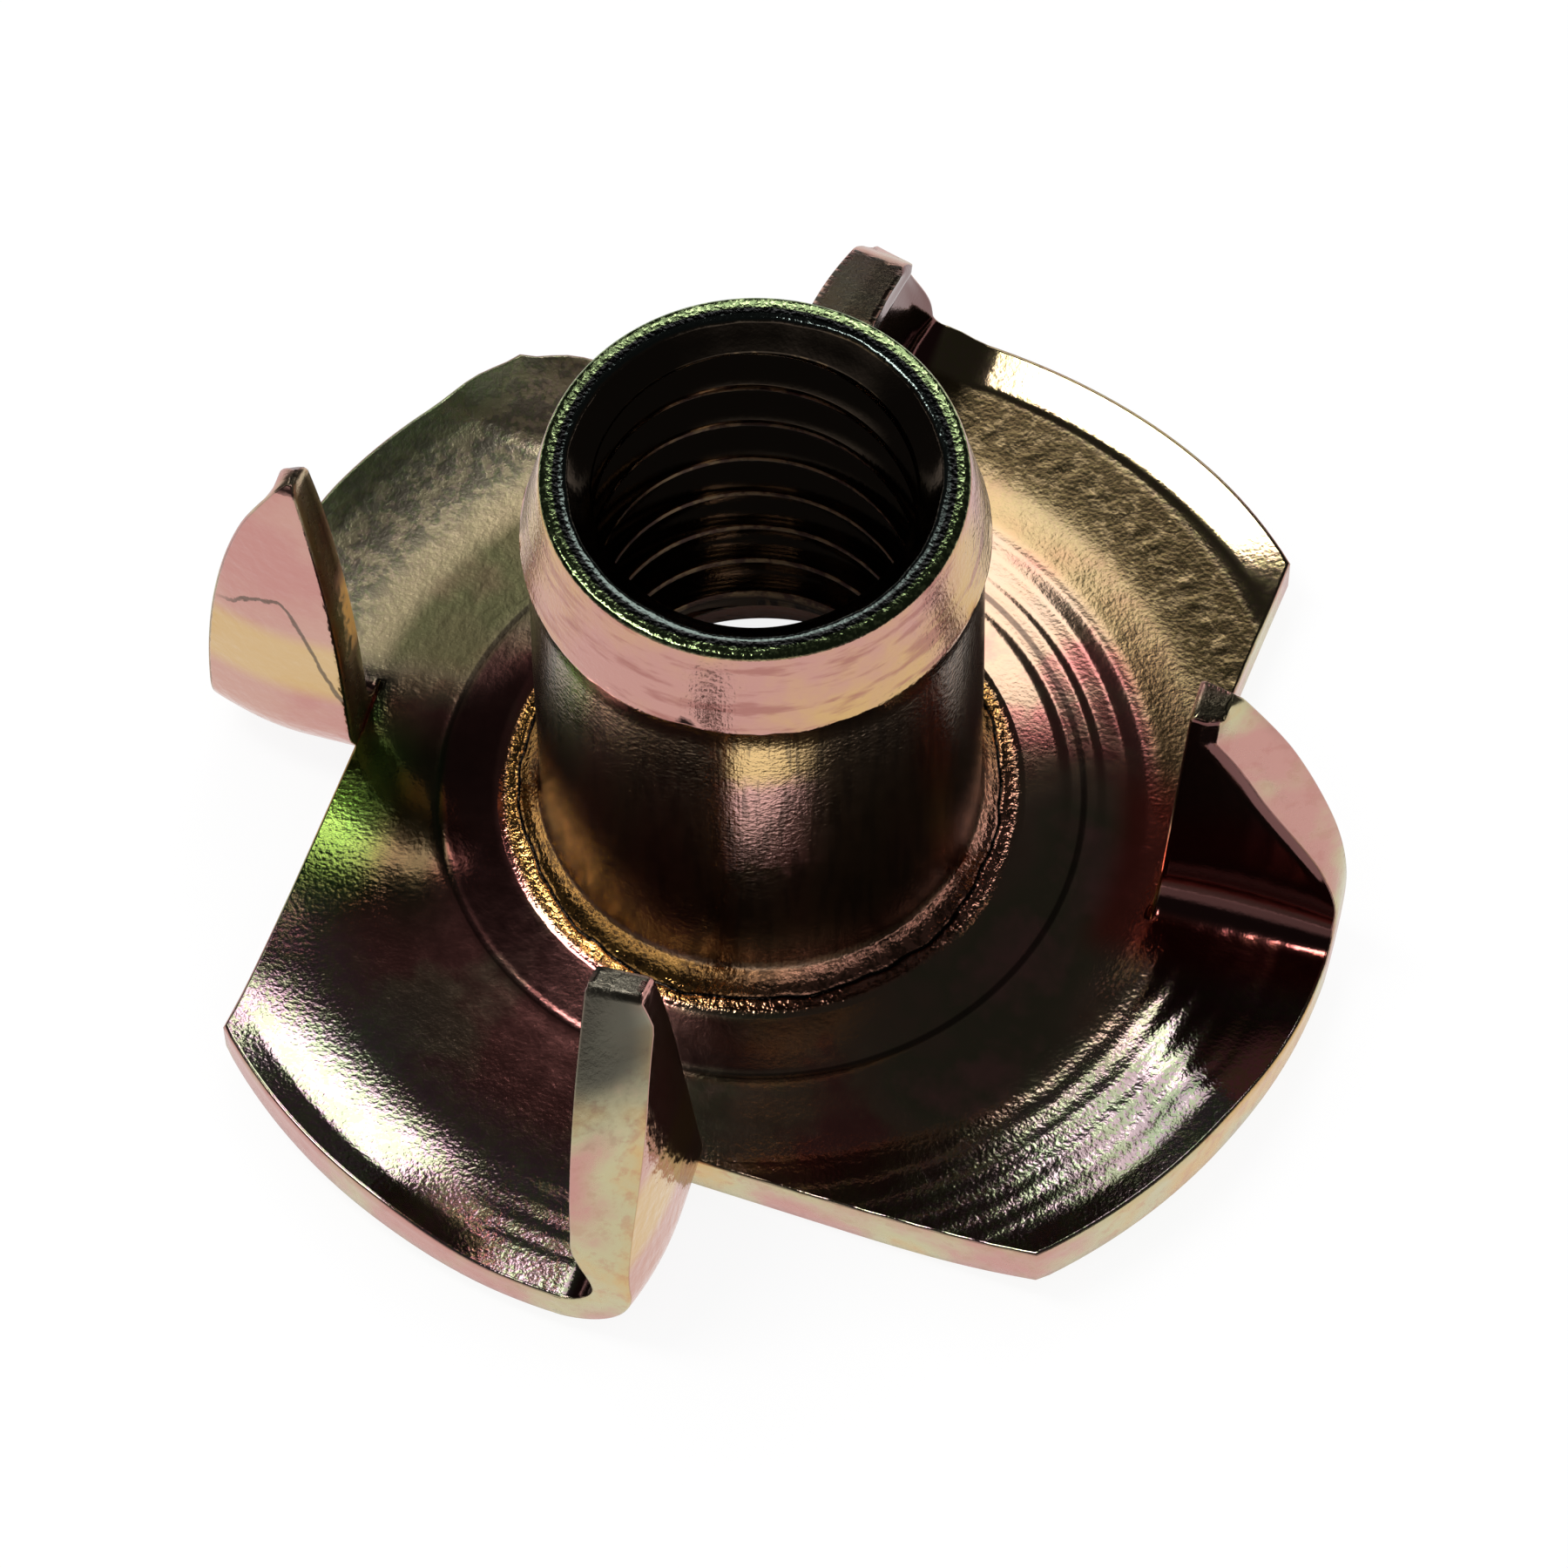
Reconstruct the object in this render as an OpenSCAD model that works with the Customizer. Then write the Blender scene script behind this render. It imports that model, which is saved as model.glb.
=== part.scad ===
// Four-pronged tee nut for wood, with a thread of M6 x 1.
//
// The real one is a single piece of steel sheet. The barrel is drawn up out of the
// middle of a round flange and threaded inside. Four cuts then run in from the
// flange's edge, and the sheet beside each cut is folded up into a prong, which
// leaves four lobes that follow each other round like a pinwheel.
//
// Origin: centre of the flange's flat underside. +Z runs up the barrel, the way
// that the bolt comes out. The first prong stands over the +X axis.

/* [Thread] */
// Diameter of the bore, which is the minor diameter of the thread
bore_d = 5; // [4.9:0.02:5.1]
// Diameter of the countersink where the thread comes out at the end
countersink_d = 5.8; // [5.4:0.05:6.1]
// Depth of that countersink
countersink_depth = 0.4; // [0.2:0.05:0.6]

/* [Barrel] */
// Height from the underside of the flange to the end of the barrel
height = 10.6; // [9:0.1:20]
// Diameter of the flat ring at the end
end_d = 6.6; // [6.3:0.05:7]
// Length of the tapered band below the end
band_length = 1.65; // [0.6:0.05:2.5]
// Diameter at the band's lower edge, the widest part of the barrel
band_d = 7.32; // [7.2:0.02:7.6]
// Depth of the small step under the band
band_step = 0.05; // [0.02:0.01:0.08]
// Diameter of the barrel at its foot, where it is a little slimmer
foot_d = 6.68; // [6.5:0.02:7]
// Radius of the round between the barrel's foot and the flange
foot_round = 0.75; // [0.5:0.05:0.9]

/* [Flared mouth] */
// Diameter of the mouth on the underside of the flange
mouth_d = 9.4; // [8.6:0.1:10]
// Height of the flare, at the top of which the thread begins
mouth_height = 2.5; // [1.8:0.1:3]
// Diameter at the top of the flare
throat_d = 5.74; // [5.6:0.02:5.8]

/* [Flange] */
// Diameter of the flange
flange_d = 19.4; // [18.6:0.1:20.6]
// Thickness of the sheet
sheet = 0.9; // [0.8:0.05:1]
// Height of the low cone that the barrel's foot stands on
boss_height = 1.27; // [1.15:0.01:1.35]
// Width of the flat ring left between the low cone and the curled rim
flat_width = 0.8; // [0.6:0.1:1.2]
// Diameter of the press mark, a shallow groove round the low cone
groove_d = 11.1; // [10.6:0.1:12]
// Width of the groove
groove_width = 0.34; // [0.2:0.02:0.5]
// Depth of the groove
groove_depth = 0.06; // [0.02:0.01:0.1]

/* [Rim] */
// Width of the rim that curls up along each lobe's round edge
lip_width = 1.8; // [1:0.1:2.2]
// Rise of the curled rim above the sheet
lip_rise = 0.42; // [0.2:0.02:0.46]
// Width of the rounded edge under the rim
roll_width = 1.3; // [0.8:0.05:1.5]
// Rise of the rounded edge at the flange's edge
roll_rise = 0.4; // [0.2:0.05:0.45]
// Length along the edge over which the curl fades out towards a lobe's corner
fade_length = 3; // [2:0.2:4]

/* [Prongs] */
// Number of prongs
prong_count = 4; // [2:1:4]
// Distance from the axis to the inner end of each cut
cut_offset = 6.73; // [6.5:0.05:7]
// Angle by which each cut leans outwards from square
cut_splay = 3.5; // [1:0.5:5]
// Half the width of the strip of flange that each fold takes up
fold_half = 0.5; // [0.3:0.05:0.7]
// Radius left inside the fold at the curled rim, its tightest place
fold_clear = 0.19; // [0.12:0.01:0.4]
// Angle through which each prong is folded, a little past upright
fold_angle = 94.5; // [90:0.5:97]
// Radius of the prong's curved outer edge
prong_edge_r = 8.8; // [8.5:0.1:10]
// Width of the blunt tip
tip_width = 0.4; // [0.2:0.02:1]
// Thickness of the tip, to which the blade thins from the full height of its rim
tip_thickness = 0.84; // [0.5:0.02:0.88]

/* [Hidden] */
$fn = 72;
flange_r = flange_d / 2;
// radius of the fold's axis above the underside, which is also its outer radius
fold_r = sheet + lip_rise + fold_clear;
// steps in the curves of the section
lip_steps = 5;
round_steps = 5;
flare_steps = 8;
// the lip rises as a power of the way across it, so it is steepest at the edge, and
// the low cone falls as a power of the way out, so that it runs level into the flat
lip_power = 2.4;
cone_power = 1.6;
// share of a quarter ellipse that the rounded underside of the rim goes through
roll_share = 0.97;
// height of curl that is left at a lobe's corner
corner_lip = 0.14;
// distance by which a cutting shape runs past what it cuts
clear = 1;
// a fold is a hair thinner than the sheet, and its ends turn on into the flange and
// into the blade, so that each piece is rooted in the next
fold_inset = 0.01;
fold_root_angle = 6;
cut_overlap = 0.06;

// Height of the rim's top and underside, for t from 0 (flat sheet) to 1 (edge)
function lip_top(t) = sheet + lip_rise * pow(t, lip_power);
function roll_under(t) = roll_rise * (1 - sqrt(1 - t * t));

// Points [r, z] along the top of the rim, outwards to the flange's edge
function lip_points() =
    [for (i = [0 : lip_steps]) let (t = i / lip_steps)
        [flange_r - lip_width * (1 - t), lip_top(t)]];

// Points [r, z] along the rounded underside of the rim, inwards from the edge
function roll_points() =
    [for (i = [0 : lip_steps]) let (t = 1 - i / lip_steps)
        [flange_r - roll_width * (1 - t), roll_under(roll_share * t)]];

// Concave quarter round from the barrel's foot down to the low cone
function foot_points() =
    [for (i = [0 : round_steps]) let (a = 90 * i / round_steps)
        [foot_d / 2 + foot_round * (1 - cos(a)),
         boss_height + foot_round * (1 - sin(a))]];

// Quarter ellipse of the flared mouth, from the underside up to the throat
function flare_points() =
    [for (i = [0 : flare_steps]) let (a = 90 * i / flare_steps)
        [mouth_d / 2 - (mouth_d - throat_d) / 2 * sin(a),
         mouth_height * (1 - cos(a))]];

// Height of the low cone's top at radius r, from the foot down to flat sheet
boss_r = foot_d / 2 + foot_round;
boss_end_r = flange_r - lip_width - flat_width;
function boss_top(r) =
    sheet + (boss_height - sheet)
            * pow(max(0, boss_end_r - r) / (boss_end_r - boss_r), cone_power);

// Points across the low cone, with the press mark as two dips in its slope
groove_r = groove_d / 2;
function boss_points() =
    concat(
        [for (i = [1 : 3]) let (r = boss_r + (groove_r - groove_width / 2 - boss_r) * i / 3)
            [r, boss_top(r)]],
        [[groove_r - groove_width / 4, boss_top(groove_r) - groove_depth],
         [groove_r + groove_width / 4, boss_top(groove_r) - groove_depth]],
        [for (i = [0 : 2])
            let (r = groove_r + groove_width / 2 + (boss_end_r - groove_r - groove_width / 2) * i / 3)
            [r, boss_top(r)]],
        [[boss_end_r, sheet]]);

// Section of the whole nut from the bore outwards, as if no prong were cut
module nut_section() {
    polygon(concat(
        [[bore_d / 2, height - countersink_depth],
         [countersink_d / 2, height],
         [end_d / 2, height],
         [band_d / 2, height - band_length],
         [band_d / 2 - band_step, height - band_length - band_step]],
        foot_points(),
        boss_points(),
        lip_points(),
        roll_points(),
        flare_points(),
        [[bore_d / 2, mouth_height + (throat_d - bore_d) / 2]]));
}

// Where a cut runs: its distance from the axis, y beyond the line of the prong's foot
function cut_x(y) = cut_offset + max(0, y - fold_half) * tan(cut_splay);

// The half segment that each cut frees from the flange, seen from above
module freed_segment() {
    polygon([[cut_offset, -fold_half], [cut_offset, fold_half],
             [cut_x(flange_r), flange_r], [flange_r * 2, flange_r], [flange_r * 2, -fold_half]]);
}

// Corner of a lobe: where the cut meets the flange's edge
corner_slope = tan(cut_splay);
corner_base = cut_offset - fold_half * corner_slope;
corner_y = (sqrt(pow(flange_r, 2) * (1 + pow(corner_slope, 2)) - pow(corner_base, 2))
            - corner_base * corner_slope) / (1 + pow(corner_slope, 2));
corner_angle = asin(corner_y / flange_r);

// Sloping block that takes the curl off the rim towards a lobe's corner
module lip_fade() {
    fall = atan(lip_rise / fade_length);
    rotate([0, 0, corner_angle])
        translate([flange_r - lip_width, 0, sheet + corner_lip])
            rotate([fall, 0, 0])
                translate([0, -clear, 0])
                    cube([lip_width * 2, fade_length + clear, clear]);
}

// Barrel and four-lobed flange, before the prongs are added
module flange_and_barrel() {
    difference() {
        rotate_extrude() nut_section();
        for (i = [0 : prong_count - 1])
            rotate([0, 0, 360 / prong_count * i]) {
                translate([0, 0, -clear])
                    linear_extrude(sheet + lip_rise + 2 * clear) freed_segment();
                lip_fade();
            }
    }
}

// Cross-section of the sheet on a fold's line, drawn in by d: x outwards, y up
function on_fold_line(p, d) = sqrt(p[0] * p[0] - fold_half * fold_half) - d;
function fold_section(d) =
    concat(
        [[cut_offset - cut_overlap + d, boss_top(cut_offset) - d],
         [boss_end_r, sheet - d]],
        [for (p = lip_points()) [on_fold_line(p, d), p[1] - d]],
        [for (p = roll_points()) [on_fold_line(p, d), p[1] + d]],
        [[cut_offset - cut_overlap + d, d]]);

// The fold: the section swung about an axis above the sheet and along the radius
module fold() {
    translate([0, -fold_half, fold_r])
        rotate([90, 0, 90])
            rotate([0, 0, -90 - fold_root_angle])
                rotate_extrude(angle = fold_angle + 2 * fold_root_angle)
                    polygon([for (p = fold_section(fold_inset)) [fold_r - p[1], p[0]]]);
}

// Outline of the blade above the fold, flat: x outwards, y along the prong
edge_x = sqrt(pow(flange_r, 2) - pow(fold_half, 2)) - prong_edge_r;
tip_base = cut_offset + tip_width - edge_x;
tip_y = (sqrt(pow(prong_edge_r, 2) * (1 + pow(corner_slope, 2)) - pow(tip_base, 2))
         - tip_base * corner_slope) / (1 + pow(corner_slope, 2));
module blade_outline() {
    polygon([[cut_offset - cut_overlap, 0], [cut_offset + tip_y * corner_slope, tip_y],
             [flange_r + clear, tip_y], [flange_r + clear, 0]]);
}

// The blade, flat: the section turned about the centre of its curved edge, with its
// inner face sloped down from the full height of the rim to the tip's thickness
module flat_blade() {
    fall = atan((sheet + lip_rise - tip_thickness) / tip_y);
    difference() {
        intersection() {
            translate([edge_x, 0, 0])
                rotate_extrude(angle = 90)
                    polygon([for (p = fold_section(0)) [p[0] - edge_x, p[1]]]);
            translate([0, 0, -clear])
                linear_extrude(sheet + lip_rise + 2 * clear) blade_outline();
        }
        translate([cut_offset / 2, 0, sheet + lip_rise + fold_inset])
            rotate([-fall, 0, 0])
                cube([flange_r, tip_y + clear, clear]);
    }
}

// One prong over the +X axis: its fold, and its blade turned up with the fold
module prong() {
    fold();
    translate([0, -fold_half, fold_r])
        rotate([fold_angle, 0, 0])
            translate([0, 0, -fold_r])
                flat_blade();
}

// The whole nut
module tee_nut() {
    color("darkkhaki") {
        flange_and_barrel();
        for (i = [0 : prong_count - 1])
            rotate([0, 0, 360 / prong_count * i]) prong();
    }
}

tee_nut();
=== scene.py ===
import math

import bmesh
import bpy
import numpy as np
from mathutils import Matrix, Vector


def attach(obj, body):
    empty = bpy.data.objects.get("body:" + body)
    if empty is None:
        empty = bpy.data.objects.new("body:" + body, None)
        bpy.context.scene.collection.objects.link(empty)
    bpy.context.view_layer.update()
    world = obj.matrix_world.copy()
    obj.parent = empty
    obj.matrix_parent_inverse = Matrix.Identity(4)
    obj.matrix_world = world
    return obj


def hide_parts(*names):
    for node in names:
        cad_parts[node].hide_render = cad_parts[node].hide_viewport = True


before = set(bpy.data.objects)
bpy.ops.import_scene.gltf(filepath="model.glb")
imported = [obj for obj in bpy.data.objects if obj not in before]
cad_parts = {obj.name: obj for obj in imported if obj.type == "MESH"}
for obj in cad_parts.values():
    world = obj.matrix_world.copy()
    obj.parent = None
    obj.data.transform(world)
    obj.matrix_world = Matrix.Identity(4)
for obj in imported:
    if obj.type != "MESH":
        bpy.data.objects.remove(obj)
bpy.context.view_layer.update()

# ---------------------------------------------------------------------------
# The tee nut: one piece of steel sheet, 0.9 mm thick. The barrel is drawn up out
# of the flange and threaded M6 x 1 inside, and the sheet beside each of the four
# cuts is folded up into a prong. All its sizes are in millimetres.
# ---------------------------------------------------------------------------
MM = 0.001
MARKS = ("cut", "depth", "reach", "torn", "thread", "crest", "band", "end", "seam")


def smooth(x, a, b):
    """0 before a, 1 after b, and 3t^2 - 2t^3 of the way t between them."""
    t = np.clip((x - a) / (b - a), 0.0, 1.0)
    return t * t * (3.0 - 2.0 * t)


def wander(angle, counts, sizes, seed):
    """An uneven line round the part: the sum of sines with whole numbers of waves, each
    with its own size and a seeded phase, so that it closes on itself."""
    phase = np.random.default_rng(seed).uniform(0, 2 * np.pi, len(counts))
    return sum(s * np.sin(c * angle + p) for c, s, p in zip(counts, sizes, phase))


def no_marks(shape):
    """Each mark that the material reads, still 0 all over."""
    return {name: np.zeros(shape) for name in MARKS}


# the low cone round the barrel's foot, with a fine groove pressed into it
CONE_FOOT_R, CONE_END_R, CONE_TOP, CONE_LOW, CONE_POWER = 4.22, 7.9, 1.27, 0.83, 1.6
GROOVE_R, GROOVE_HALF, GROOVE_DEEP = 5.3, 0.07, 0.006
# in one lobe the press left rings there, and in the others a trace of them: narrow steps
# with flatter sheet between them, given as the steepness of the sheet's top at some radii
RING_RADII = [4.9, 4.98, 5.06, 5.14, 5.5, 5.56, 5.62, 5.7, 5.98, 6.08, 6.3, 6.4, 6.5, 6.6,
              7.2, 7.5, 7.9]
RING_SLOPES = [0.07, 0.16, 0.16, 0.05, 0.05, 0.16, 0.16, 0.05, 0.04, 0.14, 0.14, 0.03, 0.03,
               0.12, 0.1, 0.02, 0]
RINGS = 0.08
ring_r = np.linspace(CONE_FOOT_R, CONE_END_R, 369)
ring_slope = np.interp(ring_r, RING_RADII, RING_SLOPES)
ring_drop = np.concatenate([[0], np.cumsum((ring_slope[1:] + ring_slope[:-1]) / 2)])
ring_top = CONE_TOP - (CONE_TOP - CONE_LOW) * ring_drop / ring_drop[-1]

# the flange, where a prong's foot meets it, and the bowl and the lip of a plain lobe, a
# wide one and a crimped one
FLANGE_R, EDGE_ROUND = 9.7, 0.05
CUT_X, CUT_SPLAY, FOLD_HALF = 6.73, math.radians(3.5), 0.5
NECK_R = math.hypot(CUT_X, FOLD_HALF)
BOWL_R, BOWL_BEND, LIP_R, LIP_SLOPE = 7.6, 0.088, 9.2, 0.43
WIDE_BOWL_R, WIDE_BOWL_BEND, WIDE_LIP_SLOPE = 6.5, 0.044, 0.36
CRIMP_R, CRIMP_HALF, CRIMP_SLOPE, CRIMP_SLACK = 8.95, 0.06, 0.42, 0.12
# the underside of the rim, and the share of its rise that doesn't need the curl
ROLL_R, ROLL_RISE, ROLL_POWER, ROLL_ALWAYS, CRIMP_PRESS = 7.7, 0.44, 2.2, 0.6, 0.5


def cone_top(r, rings=0.0):
    """Top of the sheet near the barrel: it rises from the flat as the power 1.6 of the
    way in to the barrel's foot, and where rings is 1 it goes down in the press's steps."""
    way = np.clip((CONE_END_R - r) / (CONE_END_R - CONE_FOOT_R), 0, 1)
    even = CONE_LOW + (CONE_TOP - CONE_LOW) * way ** CONE_POWER
    groove = GROOVE_DEEP * np.exp(-((r - GROOVE_R) / GROOVE_HALF) ** 2)
    return even + rings * (np.interp(r, ring_r, ring_top) - even) - groove * (1 - rings)


def rim_top(r, curl, spread=0.0, crimp=0.0, rings=RINGS, crimp_way=0.0):
    """Top of the flange: a bowl that steepens evenly outwards, as the square of the way
    from where it starts, and then a straight lip. Where the spread is 1 the bowl starts
    further in, and where the crimp is 1 the sheet is flat as far as a lower lip, which is
    less steep towards the end of the lobe."""
    bowl_r, lip = np.minimum(r, LIP_R), np.clip(r - LIP_R, 0, None)
    plain = cone_top(r, rings) + curl * (
        BOWL_BEND * np.clip(bowl_r - BOWL_R, 0, None) ** 2 + LIP_SLOPE * lip)
    wide = cone_top(np.minimum(r, NECK_R), rings) + curl * (
        WIDE_BOWL_BEND * np.clip(bowl_r - WIDE_BOWL_R, 0, None) ** 2 + WIDE_LIP_SLOPE * lip)
    bend = np.clip(r - CRIMP_R, -CRIMP_HALF, CRIMP_HALF) + CRIMP_HALF
    crimped = cone_top(r, rings) + curl * (
        CRIMP_SLOPE - CRIMP_SLACK * np.clip(crimp_way, 0, 1)) * (
        bend ** 2 / (4 * CRIMP_HALF) + np.clip(r - CRIMP_R - CRIMP_HALF, 0, None))
    return plain + (wide - plain) * spread + (crimped - plain) * crimp


def rim_under(r, curl, crimp=0.0):
    """Underside of the flange: flat, then rising as the power 2.2 of the way to the edge.
    It rises less where there is no curl, and half as much where the crimp is 1."""
    way = np.clip((r - ROLL_R) / (FLANGE_R - ROLL_R), 0, 1)
    share = (ROLL_ALWAYS + (1 - ROLL_ALWAYS) * curl) * (1 - CRIMP_PRESS * crimp)
    return share * ROLL_RISE * way ** ROLL_POWER


# where the chord of each cut meets the flange's edge, and the columns round one lobe
CHORD_STEPS, ARC_STEPS = 30, 30
slope = math.tan(CUT_SPLAY)
chord_base = CUT_X - FOLD_HALF * slope
corner_y = (math.sqrt(FLANGE_R ** 2 * (1 + slope ** 2) - chord_base ** 2)
            - chord_base * slope) / (1 + slope ** 2)
corner_angle = math.asin(corner_y / FLANGE_R)
start_angle = -math.atan2(FOLD_HALF, CUT_X)
core_angles = np.concatenate([
    np.linspace(start_angle, corner_angle, CHORD_STEPS + 1),
    np.linspace(corner_angle, start_angle + np.pi / 2, ARC_STEPS + 1)[1:]])

# ways across the sheet's face, closer together towards the edge
ACROSS_STEPS, ACROSS_POWER, WALL_STEPS = 34, 1.35, 8
across = 1 - (1 - np.linspace(0, 1, ACROSS_STEPS + 1)) ** ACROSS_POWER

# rows of an edge face from its top to its underside: how far it is drawn in, as a share
# of the rounding, and its depth, as a share of the rounding and of what lies between
wall_in = np.array([1.0, 0.3, 0, 0, 0, 0, 0, 0.3, 1.0])
wall_down = np.array([0, 0.3, 1.0, 1.0, 1.0, 1.0, 1.0, 1.7, 2.0])
wall_between = np.array([0, 0, 0, 0.25, 0.5, 0.75, 1.0, 1.0, 1.0])


def wall_heights(top, under, rounding):
    """Heights of an edge face's rows, for arrays of the heights of its top and underside."""
    clear = top - under - 2 * rounding
    return top[..., None] - wall_down * rounding[..., None] - wall_between * clear[..., None]


def turned(x, y, z, turn):
    """Points given beside the first cut, turned about the barrel's axis to another one."""
    c, s = math.cos(turn), math.sin(turn)
    return np.stack([x * c - y * s, x * s + y * c, z], -1)


def lobe_middle(way_round, fades=0.75):
    """1 over the middle of a lobe, easing to 0 at its cut and at the next prong's fold."""
    return smooth(way_round, 0, 0.3) * (1 - smooth(way_round, fades, 1))


# the part inside this radius goes round in one piece, and the lobes start at it
CORE_R = 6.5
# past a lobe's corner its edge curls up, and towards the next fold it curls less again
CURL_FROM, CURL_FULL, CURL_EASES, CURL_EASED, END_CURL = -1.5, 2.2, 0.76, 0.93, 0.3
# an edge that stands out or in takes the bowl along with it, in full from this radius on
RIM_R, OUT_POWER = 9.0, 6
# a crimped lobe's lip gets less steep between these angles, and fades out from this share
# of the way round the lobe
CRIMP_EASES, CRIMP_EASED, CRIMP_FADES = 0.7, 1.4, 0.95
# the edge's rounding grows from nothing beside the prong's foot, as does the neck's gap,
# and at the corner it goes in as at a mitre, by a share of the radius and some sideways
ROUND_GROWS, NECK_GAP, NECK_GROWS, MITRE, MITRE_SIDE = 0.4, 0.12, 0.8, 1.1, [-0.25, -0.1]
# a blunt corner is cut back by a bell of this width, and a lifted one stands up along the
# cut: where this starts and is full, how far it goes across the sheet and past the corner
BLUNT_WIDE = 0.7
LIFT_FROM, LIFT_FULL, LIFT_FULL_R, LIFT_WIDE, LIFT_PAST = 2.5, 5.5, 7.6, 1.6, 3.0
# the sheet is drawn down along the lower edge of a cut
PULL_DEEP, PULL_WIDE, PULL_FROM, PULL_FULL = 0.07, 0.2, 0.3, 1.2


def lobe(turn, corner_out=0.0, fold_in=0.0, corner_curl=0.55, spread=0.0, crimp=0.0,
         rings=RINGS, chord_up=0.0, blunt=0.0, end_curl=END_CURL):
    """One lobe with its chord and round edge: rows run from the core circle out over the
    top, down the edge and back along the underside, and columns run round the lobe from
    the inner end of its cut to the fold line of the next prong. The round edge's radius
    goes evenly from its value at the corner to its value at the fold."""
    chord_angles = core_angles[:CHORD_STEPS + 1]
    # the chord starts square beside the prong's foot and then leans outwards
    chord_r = np.where(
        chord_angles < math.atan2(FOLD_HALF, CUT_X),
        CUT_X / np.cos(chord_angles),
        chord_base / (np.cos(chord_angles) - slope * np.sin(chord_angles)))
    along_chord = np.linspace(0, 1, CHORD_STEPS + 1)
    chord_r = chord_r * (1 + corner_out / FLANGE_R * along_chord ** OUT_POWER)
    chord = np.stack([chord_r * np.cos(chord_angles), chord_r * np.sin(chord_angles)], 1)
    arc_end = math.acos(FOLD_HALF / (FLANGE_R - fold_in))
    arc_angles = np.linspace(corner_angle, arc_end, ARC_STEPS + 1)[1:]
    way = smooth(arc_angles, corner_angle, arc_end)
    arc_r = FLANGE_R + corner_out * (1 - way) - fold_in * way
    arc = arc_r[:, None] * np.stack([np.cos(arc_angles), np.sin(arc_angles)], 1)
    past_corner = (core_angles - corner_angle) * FLANGE_R
    cut_back = blunt / FLANGE_R * np.exp(-(past_corner / BLUNT_WIDE) ** 2)
    outline = np.concatenate([chord, arc]) * (1 - cut_back)[:, None]
    n = len(outline)

    inward = np.empty((n, 2))
    inward[:CHORD_STEPS] = [-math.cos(CUT_SPLAY), math.sin(CUT_SPLAY)]
    inward[CHORD_STEPS + 1:] = -arc / arc_r[:, None]
    inward[CHORD_STEPS] = -outline[CHORD_STEPS] / FLANGE_R * MITRE + MITRE_SIDE
    inward[-1] = [0, -1]
    run = np.concatenate([[0], np.cumsum(np.linalg.norm(np.diff(outline, axis=0), axis=1))])
    rounding = EDGE_ROUND * smooth(run, 0, ROUND_GROWS)

    way_round = np.linspace(0, 1, n)
    curl = corner_curl + (1 - corner_curl) * smooth(past_corner, CURL_FROM, CURL_FULL)
    curl = curl + (end_curl - curl) * smooth(way_round, CURL_EASES, CURL_EASED)
    edge_in = np.concatenate([np.full(CHORD_STEPS + 1, -corner_out), FLANGE_R - arc_r])
    outline_r = np.linalg.norm(outline, axis=1)
    neck_r = np.minimum(NECK_R, outline_r - NECK_GAP * smooth(run, 0, NECK_GROWS))
    rays = np.stack([np.cos(core_angles), np.sin(core_angles)], 1)
    core, neck = CORE_R * rays, neck_r[:, None] * rays
    edge = outline + inward * rounding[:, None]
    wall = outline[:, None, :] + inward[:, None, :] * (wall_in * rounding[:, None])[:, :, None]

    neck_rows = core[:, None] + (neck - core)[:, None] * np.array([0, 0.5])[None, :, None]
    face_rows = neck[:, None] + (edge - neck)[:, None] * across[None, :, None]
    top_plan = np.concatenate([neck_rows, face_rows], 1)
    plan_r = np.linalg.norm(top_plan, axis=2)
    plan_r = plan_r + edge_in[:, None] * smooth(plan_r, NECK_R, RIM_R)
    middle = lobe_middle(way_round)[:, None]
    crimped = crimp * lobe_middle(way_round, CRIMP_FADES)[:, None]
    crimp_way = smooth(core_angles, CRIMP_EASES, CRIMP_EASED)[:, None]
    top_z = rim_top(plan_r, curl[:, None], spread * middle, crimped,
                    RINGS + (rings - RINGS) * middle, crimp_way)
    under_z = rim_under(plan_r, curl[:, None], crimped)
    from_chord = (chord_base + top_plan[..., 1] * slope - top_plan[..., 0]) * math.cos(CUT_SPLAY)
    pulled = smooth(run, PULL_FROM, PULL_FULL)[:, None] * (1 - smooth(from_chord, 0, PULL_WIDE))
    under_z = under_z + PULL_DEEP * pulled
    lift = chord_up * smooth(run, LIFT_FROM, LIFT_FULL)[:, None]
    lift = lift * (1 - smooth(from_chord, 0, LIFT_WIDE)) * smooth(plan_r, NECK_R, LIFT_FULL_R)
    lift = lift * (1 - smooth(past_corner, 0, LIFT_PAST))[:, None]
    top_z, under_z = top_z + lift, under_z + lift
    wall_z = wall_heights(top_z[:, -1], under_z[:, -1], np.full(n, EDGE_ROUND))

    plan = np.concatenate([top_plan[:, :-1], wall, top_plan[:, -2::-1]], 1)
    z = np.concatenate([top_z[:, :-1], wall_z, under_z[:, -2::-1]], 1)
    points = turned(plan[..., 0].T, plan[..., 1].T, z.T, turn)
    face = top_plan.shape[1] - 1
    marks = no_marks(points.shape[:2])
    marks["cut"][face + 1:face + WALL_STEPS] = 1
    marks["depth"][face:face + WALL_STEPS + 1] = np.linspace(0, 1, WALL_STEPS + 1)[:, None]
    marks["depth"][face + WALL_STEPS:] = 1
    return points, marks


# a prong: its fold's radius, angle and length of sheet, the radius of its outer edge, and
# the rows up it, which come closer together where the tip is rounded
FOLD_R, FOLD_ANGLE, FOLD_RUN, PRONG_EDGE_R = 1.51, math.radians(94.5), 1.2, 8.8
SWING_STEPS, BLADE_STEPS = 22, 30
TIP_CLOSE = np.array([0.2, 0.45, 0.7, 0.88, 0.97, 1.0])
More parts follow.
